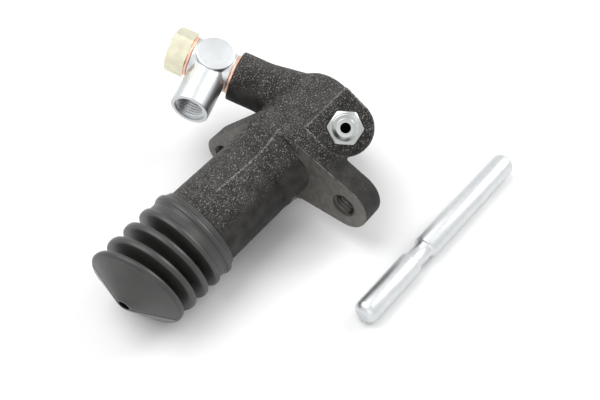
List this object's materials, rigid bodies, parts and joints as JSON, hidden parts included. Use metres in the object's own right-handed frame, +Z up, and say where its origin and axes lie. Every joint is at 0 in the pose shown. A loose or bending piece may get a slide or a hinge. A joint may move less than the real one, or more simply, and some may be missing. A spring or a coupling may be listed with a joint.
{
  "type": "clutch slave cylinder",
  "caption": "Cast hydraulic clutch slave cylinder with a bellows boot, banjo union, bleeder screw, flange with threaded ears, and a loose push rod.",
  "frame": {"origin": "centre of the flange's machined face, on the axis of the bore", "axes": "+X along the bore out of its open, booted end; +Z up as the cylinder lies on a bench; +Y towards the bleeder side"},
  "size_m": [0.1268, 0.114, 0.0467],
  "materials": {
    "cast_iron": "rough sand-cast, blackened",
    "rubber": "satin",
    "zinc": "bright zinc plate",
    "yellow_zinc": "yellow zinc plate",
    "copper": "dull copper",
    "aluminium": "anodised",
    "spring_steel": "oiled"
  },
  "bodies": {
    "housing": {"cylinder_body": "cast_iron", "return_spring": "spring_steel", "boot": "rubber", "gasket_inner": "copper", "union_fitting": "zinc", "gasket_outer": "copper", "union_bolt": "yellow_zinc", "valve_plate": "zinc", "valve_spring": "spring_steel", "push_rod": "zinc"},
    "piston_group": {"piston": "aluminium", "piston_cup": "rubber"},
    "bleeder": {"bleeder_screw": "zinc"}
  },
  "joints": [
    {"name": "piston_slide", "type": "slide", "parent": "housing", "child": "piston_group", "axis": [1, 0, 0], "range_m": [-0.018, 0], "stiffness_N_per_m": 150, "deforming": ["return_spring"]},
    {"name": "bleeder_turn", "type": "hinge", "parent": "housing", "child": "bleeder", "pos_m": [-0.0136, 0.0203, 0.0185], "axis": [0.5821, 0.3905, 0.7132], "range_deg": [0, 360]}
  ]
}
